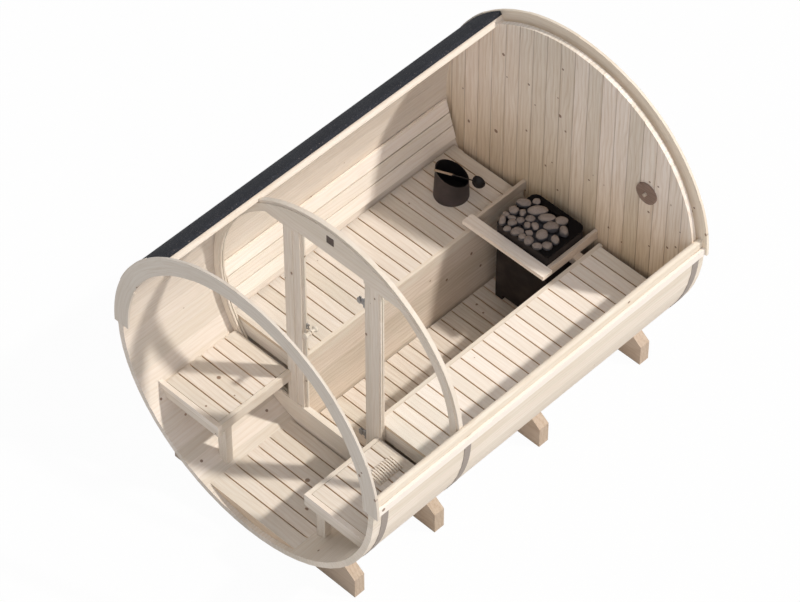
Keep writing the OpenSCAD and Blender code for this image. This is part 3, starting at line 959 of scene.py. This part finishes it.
@dataclass
class Shell(Assembly):
    """Staves, rings, felt, battens, bands and cradles."""

    def dress(self) -> None:
        """Dresses the shell's nodes."""
        width = BARREL.stave_pitch * BARREL.radius
        # Lit and shaded copies of one stave spruce: the left staves, seen in shade, are painted darker, and
        # the right ones, sunlit outside, lighter.
        for side, light, dark, runs in (
            ("left", (0.82, 0.745, 0.66), (0.71, 0.605, 0.49), ("left_upper", "left_lower", "bottom")),
            ("right", (0.88, 0.80, 0.695), (0.77, 0.65, 0.515), ("right_lower", "right_upper")),
        ):
            staves = Spruce(
                f"{side}_stave_spruce_painted_light", Axis.Y, Axis.ROUND, pitch=width, light=light, dark=dark,
                knots=0.05, contrast=0.7, marks=STAVE_KNOTS,
            )
            self.put(staves, *(f"staves_{run}" for run in runs))
        # Shaded and lit copies of one ring spruce: the front ring is painted darker and greyer for the shade
        # on its face.
        for end, light, dark in (
            ("front", (0.80, 0.735, 0.66), (0.69, 0.60, 0.50)),
            ("rear", (0.91, 0.815, 0.695), (0.80, 0.68, 0.54)),
        ):
            ring = Spruce(
                f"{end}_ring_spruce_painted_light", Axis.ROUND, Axis.RADIUS, pitch=0.7, light=light, dark=dark,
                knots=0.12, marks=RING_KNOTS,
            )
            self.put(ring, f"{end}_ring")
        batten = Spruce(
            "batten_spruce", Axis.Y, Axis.Z, pitch=3.0, light=(0.95, 0.88, 0.80), dark=(0.87, 0.78, 0.68),
            knots=0.0, contrast=0.25, marks=BATTEN_KNOTS,
        )
        self.put(batten, "left_batten", "right_batten")
        beam = Spruce(
            "cradle_spruce", Axis.X, Axis.Y, pitch=0.4, light=(0.57, 0.46, 0.36), dark=(0.41, 0.30, 0.21),
            knots=0.10, contrast=0.7,
        )
        self.put(beam, "cradles")
        self.put(Felt(), "roof_felt")
        band = Steel("band_steel", (0.35, 0.30, 0.265), (0.44, 0.385, 0.345), rough=0.55, metal=0.25)
        self.put(band, "steel_bands")


@dataclass
class FrontWall(Assembly):
    """Header, stiles, posts, sill, panes and the small plate over the door."""

    plate_size: float = 0.058
    plate_height: float = 0.977
    face_depth: float = 0.763
    plate_thickness: float = 0.004
    plate_rim: float = 0.006
    plate_sink: float = 0.3
    plate_bevel: float = 0.0005

    def dress(self) -> None:
        """Dresses the wall's nodes."""
        level = Spruce("header_spruce", Axis.X, Axis.Z, pitch=0.17, start=0.05, knots=0.10, contrast=0.6)
        self.put(level, "front_header")
        # Lighter copy of the header's spruce: painted light on the sill, which sits in shade.
        sill = Spruce(
            "sill_spruce_painted_light", Axis.X, Axis.Z, pitch=0.17, start=0.05, light=(0.95, 0.87, 0.77),
            dark=(0.84, 0.72, 0.59), knots=0.04, contrast=0.4,
        )
        self.put(sill, "front_sill")
        curved = Spruce("stile_spruce", Axis.ROUND, Axis.RADIUS, pitch=0.7, knots=0.08, contrast=0.6)
        self.put(curved, "left_stile", "right_stile", "glazing_beads")
        post = Spruce("post_spruce", Axis.Z, Axis.X, pitch=0.066, start=0.002, knots=0.10, contrast=0.65)
        self.put(post, "left_door_post", "right_door_post")
        self.put(ClearGlass("window_glass"), "left_window", "right_window")

    def build(self) -> None:
        """Adds the bare plate on the header, with a rim round its sunken face."""
        build = bmesh.new()
        half = self.plate_size / 2
        made = bmesh.ops.create_cube(build, size=1.0)["verts"]
        for vert in made:
            vert.co = Vector((
                vert.co.x * 2 * half,
                BARREL.y(self.face_depth) + (vert.co.y - 0.5) * self.plate_thickness,
                BARREL.z(self.plate_height) + vert.co.z * 2 * half,
            ))
        build.normal_update()
        front = min(build.faces, key=lambda face: face.calc_center_median().y)
        sink = -self.plate_sink * self.plate_thickness
        bmesh.ops.inset_region(build, faces=[front], thickness=self.plate_rim, depth=sink)
        bmesh.ops.bevel(build, geom=list(build.edges), offset=self.plate_bevel, segments=2, affect="EDGES")
        paint = BlackMetal("plate_metal", (0.09, 0.064, 0.053), (0.19, 0.145, 0.125))
        mesh_piece("header_plate", build, paint, ROOT_BODY)


@dataclass
class Door(Assembly):
    """Glass door with its hinges, knobs and catch."""

    def dress(self) -> None:
        """Dresses the door's nodes."""
        self.put(ClearGlass("door_pane"), "door_glass")
        hinge = Steel("hinge_steel", (0.33, 0.32, 0.315), (0.48, 0.47, 0.46), rough=0.38)
        self.put(hinge, "door_hinges", "hinge_plates", "roller_catch")
        self.put(Spruce("knob_spruce", Axis.Y, Axis.X, pitch=0.5, knots=0.0), "door_knobs")


@dataclass
class Room(Assembly):
    """Back wall, floors, benches, backrest, heater guard, headrest and vent."""

    slat_pitch: float = 0.1007
    porch_floor_start: float = 0.151
    room_floor_start: float = 0.9157
    porch_seat_start: float = 0.2657
    bench_start: float = 0.9167
    porch_cap_depth: float = 0.1615
    room_cap_depth: float = 0.8265
    headrest_start: float = 0.4855

    def dress(self) -> None:
        """Dresses the inside's nodes, from the wall and floors to the small pieces."""
        self._wall_and_floors()
        self._benches()
        self._small_pieces()

    def _slats(self, name: str, start: float, **settings: object) -> Spruce:
        """Gives a finish for slats that lie across the barrel.

        Args:
            name: Name of the finish.
            start: Depth of the first slat behind the stave ends.
            **settings: Fields of the finish that differ from plain spruce.

        Returns:
            The finish.
        """
        return Spruce(
            name, Axis.X, Axis.Y, pitch=self.slat_pitch, start=BARREL.y(start), edge=PAINTED_GAP_SHADE, **settings
        )

    def _wall_and_floors(self) -> None:
        """Dresses the back wall, the porch floor and the duckboards."""
        wall = Spruce(
            "wall_spruce", Axis.Z, Axis.X, pitch=0.1157, start=0.0343, light=(0.96, 0.885, 0.80),
            dark=(0.76, 0.645, 0.525), knots=0.03, contrast=0.95, variety=0.09, seam=0.0062,
            marks=WALL_KNOTS, painted_shade_below=(0.75, 1.6),
        )
        self.put(wall, "back_wall")
        porch = self._slats("porch_floor_spruce", self.porch_floor_start, knots=0.02, marks=PORCH_FLOOR_KNOTS)
        self.put(porch, "porch_floor")
        floor = self._slats(
            "room_floor_spruce", self.room_floor_start, light=(0.82, 0.745, 0.655), dark=(0.64, 0.53, 0.42),
            knots=0.05, marks=ROOM_FLOOR_KNOTS,
        )
        self.put(floor, "room_floor")

    def _benches(self) -> None:
        """Dresses the benches' slats, rails and skirts."""
        seats = self._slats(
            "porch_slat_spruce", self.porch_seat_start, light=(0.82, 0.745, 0.66), dark=(0.69, 0.585, 0.475),
            knots=0.0, marks=PORCH_SEAT_KNOTS,
        )
        self.put(seats, "porch_left_slats", "porch_right_slats")
        # Painted light: one bench spruce in two tones, the left bench darker and the right lighter, for the
        # shade that falls on each.
        for side, light, dark in (
            ("left", (0.80, 0.735, 0.66), (0.68, 0.585, 0.485)),
            ("right", (0.93, 0.865, 0.785), (0.82, 0.725, 0.62)),
        ):
            bench = self._slats(
                f"{side}_bench_spruce_painted_light", self.bench_start, light=light, dark=dark, knots=0.03, contrast=0.7
            )
            self.put(bench, f"room_{side}_slats")
        for place, kind, cap, knots in (
            ("porch", "frame", self.porch_cap_depth, 0.12),
            ("room", "rail", self.room_cap_depth, 0.0),
        ):
            rail = Spruce(
                f"{place}_rail_spruce", Axis.Y, Axis.X, pitch=0.4, start=-0.2, knots=knots,
                swap_below=BARREL.y(cap),
            )
            self.put(rail, f"{place}_left_{kind}", f"{place}_right_{kind}")
        skirt = Spruce(
            "skirt_spruce", Axis.Y, Axis.Z, pitch=0.16, start=0.19, light=(0.765, 0.67, 0.57),
            dark=(0.575, 0.46, 0.345), knots=0.03, contrast=0.7, marks=SKIRT_KNOTS,
        )
        self.put(skirt, "bench_skirts")

    def _small_pieces(self) -> None:
        """Dresses the backrest, the heater's guard, the headrest and the vent."""
        back = Spruce(
            "backrest_spruce", Axis.Y, Axis.Z, pitch=0.1, start=0.805, light=(0.96, 0.885, 0.80),
            dark=(0.84, 0.73, 0.61), knots=0.0, contrast=0.7,
        )
        self.put(back, "backrest")
        guard = Spruce(
            "guard_spruce", Axis.X, Axis.Y, pitch=0.4, light=(0.93, 0.85, 0.76), dark=(0.79, 0.68, 0.55),
            knots=0.0, contrast=0.7,
        )
        self.put(guard, "heater_guard")
        rails = Spruce(
            "guard_rail_spruce", Axis.Y, Axis.X, pitch=0.3, light=(0.72, 0.62, 0.53), dark=(0.58, 0.47, 0.37),
            knots=0.03,
        )
        self.put(rails, "guard_rails")
        start = BARREL.y(self.headrest_start)
        self.put(Spruce("headrest_spruce", Axis.X, Axis.Y, pitch=0.019, start=start, knots=0.0), "headrest")
        vent = HeatedWood(
            "vent_wood", (0.33, 0.235, 0.19), (0.19, 0.125, 0.10), (0.62, 0.52, 0.42),
            hub=Hub(0.6765, 1.4538, 0.013),
        )
        self.put(vent, "vent_disc")


@dataclass(frozen=True)
class Stone:
    """Middle and half sizes of a stone, in metres, with its depth taken from the stave ends."""

    x: float
    depth: float
    half_width: float
    half_depth: float


TOP_STONES = (
    Stone(-0.162, 2.659, 0.050, 0.030), Stone(-0.110, 2.724, 0.025, 0.023),
    Stone(-0.164, 2.566, 0.032, 0.030), Stone(-0.105, 2.589, 0.023, 0.027),
    Stone(-0.047, 2.673, 0.064, 0.034), Stone(-0.175, 2.506, 0.023, 0.020),
    Stone(-0.153, 2.451, 0.023, 0.034), Stone(-0.127, 2.511, 0.028, 0.016),
    Stone(-0.096, 2.481, 0.030, 0.026), Stone(-0.071, 2.531, 0.027, 0.023),
    Stone(-0.031, 2.584, 0.032, 0.027), Stone(0.037, 2.664, 0.053, 0.032),
    Stone(0.120, 2.710, 0.041, 0.032), Stone(-0.083, 2.422, 0.025, 0.020),
    Stone(-0.009, 2.529, 0.023, 0.026), Stone(0.030, 2.560, 0.023, 0.028),
    Stone(0.108, 2.629, 0.051, 0.034), Stone(-0.022, 2.447, 0.041, 0.030),
    Stone(0.192, 2.655, 0.028, 0.039), Stone(0.043, 2.489, 0.025, 0.020),
    Stone(0.035, 2.433, 0.025, 0.025), Stone(0.115, 2.532, 0.041, 0.037),
    Stone(0.084, 2.440, 0.032, 0.030), Stone(0.201, 2.561, 0.027, 0.030),
    Stone(0.158, 2.443, 0.032, 0.023), Stone(0.201, 2.491, 0.034, 0.028),
)


@dataclass
class Heater(Assembly):
    """Heater with its stones: a full top layer, and smaller ones that show in the gaps."""

    stones: tuple[Stone, ...] = TOP_STONES
    growth: Point = (1.08, 1.2, 0.84)
    lumps: tuple[Span, ...] = ((0.20, 1.1), (0.06, 3.1))
    lump_reach: float = 50.0
    top_height: float = -0.275
    stone_turn: float = math.radians(44.2)
    turn_spread: float = 0.25
    filler: Stone = Stone(0.017, 2.586, 0.165, 0.130)
    fill_rows: int = 7
    fill_sizes: Span = (0.022, 0.032)
    fill_stretch: float = 1.2
    fill_spread: Span = (0.2, 0.8)
    fill_height: float = -0.326
    rim_height: float = 0.885
    soot_depth: float = 0.012
    seed: int = 7

    def dress(self) -> None:
        """Dresses the heater's node."""
        soot_above = self.rim_height - self.soot_depth
        self.put(BlackMetal("heater_paint", rough=0.7, gloss=0.1, soot_above=soot_above), "heater")

    def build(self) -> None:
        """Lays the stones in the heater's tub."""
        draw = random.Random(self.seed)
        build = bmesh.new()
        for stone in self.stones:
            turn = self.stone_turn + draw.uniform(-self.turn_spread, self.turn_spread)
            self._lay(build, draw, stone, self.top_height, turn)
        for i in range(self.fill_rows):
            for j in range(self.fill_rows):
                size = draw.uniform(*self.fill_sizes)
                x = self.filler.x + self.filler.half_width * self._step(draw, i)
                depth = self.filler.depth + self.filler.half_depth * self._step(draw, j)
                small = Stone(x, depth, size * self.fill_stretch, size)
                self._lay(build, draw, small, self.fill_height, draw.uniform(0, math.tau))
        mesh_piece("heater_stones", build, Rock(), ROOT_BODY)

    def _step(self, draw: random.Random, number: int) -> float:
        """Places a small stone at random in its row or column, from -1 to 1."""
        return 2 * (number + draw.uniform(*self.fill_spread)) / self.fill_rows - 1

    def _lay(
        self, build: bmesh.types.BMesh, draw: random.Random, stone: Stone, height: float, turn: float
    ) -> None:
        """Adds one rounded stone.

        Args:
            build: Mesh to add to.
            draw: Source of its random lumps.
            stone: Place and half sizes.
            height: Height of its middle over the barrel's axis.
            turn: Angle of its width from X, in radians.
        """
        offset = Vector([draw.uniform(0, self.lump_reach) for _ in range(3)])
        sizes = (stone.half_width, stone.half_depth, stone.half_depth)
        half = Vector([size * grown for size, grown in zip(sizes, self.growth)])
        middle = Matrix.Translation((stone.x, BARREL.y(stone.depth), BARREL.z(height)))
        place = middle @ Matrix.Rotation(turn, 4, "Z")
        made = bmesh.ops.create_icosphere(build, subdivisions=3, radius=1.0)["verts"]
        for vert in made:
            swell = 1.0
            for strength, rate in self.lumps:
                swell += strength * noise.noise(vert.co * rate + offset)
            vert.co = place @ Vector(a * b for a, b in zip(vert.co * swell, half))
        for face in {f for vert in made for f in vert.link_faces}:
            face.smooth = True


@dataclass
class Washing(Assembly):
    """Bucket and ladle."""

    # Cone of the bucket's inside, where shade is painted near black.
    inside: Cone = Cone(-0.647, 1.023, 0.146, 0.0405)
    bowl_from: float = -0.6292

    def dress(self) -> None:
        """Dresses the bucket and the ladle."""
        bucket = BlackMetal(
            "bucket_paint", (0.040, 0.031, 0.030), (0.075, 0.058, 0.055), rough=0.48, painted_shade_inside=self.inside
        )
        self.put(bucket, "bucket")
        ladle = HeatedWood("ladle_wood", (0.52, 0.40, 0.29), (0.34, 0.23, 0.15), second_from=self.bowl_from)
        self.put(ladle, "ladle")


@dataclass(frozen=True)
class Lamp:
    """Distant lamp: the direction towards it, its strength, its colour and the degrees it covers."""

    name: str
    source: Point
    power: float
    color: Color
    spread: float

    def add(self) -> None:
        """Adds the lamp to the scene."""
        data = bpy.data.lights.new(self.name, "SUN")
        data.energy = self.power
        data.color = self.color
        data.angle = math.radians(self.spread)
        lamp = bpy.data.objects.new(self.name, data)
        lamp.rotation_euler = (-Vector(self.source)).to_track_quat("-Z", "Y").to_euler()
        bpy.context.scene.collection.objects.link(lamp)


FILL_COLOR: Color = (1.0, 0.945, 0.97)
LAMPS = (
    Lamp("soft_sun", (0.52, 0.43, 0.74), 2.6, (1.0, 0.955, 0.90), 3.0),
    Lamp("broad_fill", (0.62, -0.58, 0.53), 0.72, FILL_COLOR, 40.0),
    Lamp("side_fill", (-0.45, 0.1, 0.85), 0.4, FILL_COLOR, 45.0),
)


@dataclass
class Studio:
    """Camera, light, floor and white background."""

    azimuth: float = 44.22
    elevation: float = 48.58
    distance: float = 23.05
    lens: float = 167.6
    sensor: float = 36.0
    clip_end: float = 200.0
    target: Point = (0.0019, -0.123, 1.134)
    lamps: tuple[Lamp, ...] = LAMPS
    sky_color: Color = (0.88, 0.94, 1.0)
    sky_power: float = 0.27
    floor_half: float = 40.0
    floor_tone: float = 0.7
    floor_glow: float = 0.97

    def camera(self) -> None:
        """Adds the camera at the photograph's viewing angle."""
        turn, rise = math.radians(self.azimuth), math.radians(self.elevation)
        forward = Vector((-math.sin(turn) * math.cos(rise), math.cos(turn) * math.cos(rise), -math.sin(rise)))
        data = bpy.data.cameras.new("photo_camera")
        data.lens = self.lens
        data.sensor_width = self.sensor
        data.sensor_fit = "HORIZONTAL"
        data.clip_end = self.clip_end
        camera = bpy.data.objects.new("photo_camera", data)
        camera.location = Vector(self.target) - forward * self.distance
        camera.rotation_euler = forward.to_track_quat("-Z", "Y").to_euler()
        bpy.context.scene.collection.objects.link(camera)
        bpy.context.scene.camera = camera

    def light(self) -> None:
        """Adds the soft sun, the broad fills and the pale sky, which looks white itself."""
        for lamp in self.lamps:
            lamp.add()
        world = bpy.data.worlds.new("pale_sky")
        world.use_nodes = True
        bpy.context.scene.world = world
        tree = world.node_tree
        tree.nodes.clear()
        seen = tree.nodes.new("ShaderNodeLightPath")
        direct = tree.nodes.new("ShaderNodeMath")
        direct.operation = "MAXIMUM"
        tree.links.new(seen.outputs["Is Camera Ray"], direct.inputs[0])
        tree.links.new(seen.outputs["Is Transmission Ray"], direct.inputs[1])
        mixed = tree.nodes.new("ShaderNodeMixShader")
        tree.links.new(direct.outputs[0], mixed.inputs[0])
        for socket, color, power in (
            (mixed.inputs[1], self.sky_color, self.sky_power),
            (mixed.inputs[2], WHITE, 1.0),
        ):
            sky = tree.nodes.new("ShaderNodeBackground")
            sky.inputs[0].default_value = (*color, 1.0)
            sky.inputs[1].default_value = power
            tree.links.new(sky.outputs[0], socket)
        out = tree.nodes.new("ShaderNodeOutputWorld")
        tree.links.new(mixed.outputs[0], out.inputs[0])

    def floor(self) -> None:
        """Adds the plain white floor, which keeps a faint shadow."""
        graph = Graph("studio_floor")
        seen = graph.node("LightPath")
        direct = graph.math("MAXIMUM", seen.outputs["Is Camera Ray"], seen.outputs["Is Transmission Ray"])
        matt = graph.node("BsdfDiffuse")
        matt.inputs[0].default_value = (self.floor_tone, self.floor_tone, self.floor_tone, 1.0)
        glow = graph.node("Emission")
        glow.inputs[0].default_value = (*WHITE, 1.0)
        glow.inputs[1].default_value = 1.0
        material = graph.join(graph.times(direct, self.floor_glow), matt.outputs[0], glow.outputs[0])
        build = bmesh.new()
        bmesh.ops.create_grid(build, x_segments=1, y_segments=1, size=self.floor_half)
        data = bpy.data.meshes.new("studio_floor")
        build.to_mesh(data)
        build.free()
        data.materials.append(material)
        floor = bpy.data.objects.new("studio_floor", data)
        bpy.context.scene.collection.objects.link(floor)

    def build(self) -> None:
        """Sets up the whole studio."""
        self.camera()
        self.light()
        self.floor()
        bpy.context.scene.view_settings.view_transform = "Standard"


def main() -> None:
    """Builds and dresses every sub-assembly in order."""
    logging.basicConfig(level=logging.INFO, format="%(name)s %(message)s")
    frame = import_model()
    Studio().build()
    for kind in (Shell, FrontWall, Door, Room, Heater, Washing):
        assembly = kind(frame["nodes"])
        assembly.dress()
        assembly.build()
    bpy.context.view_layer.update()


if __name__ == "__main__":
    main()
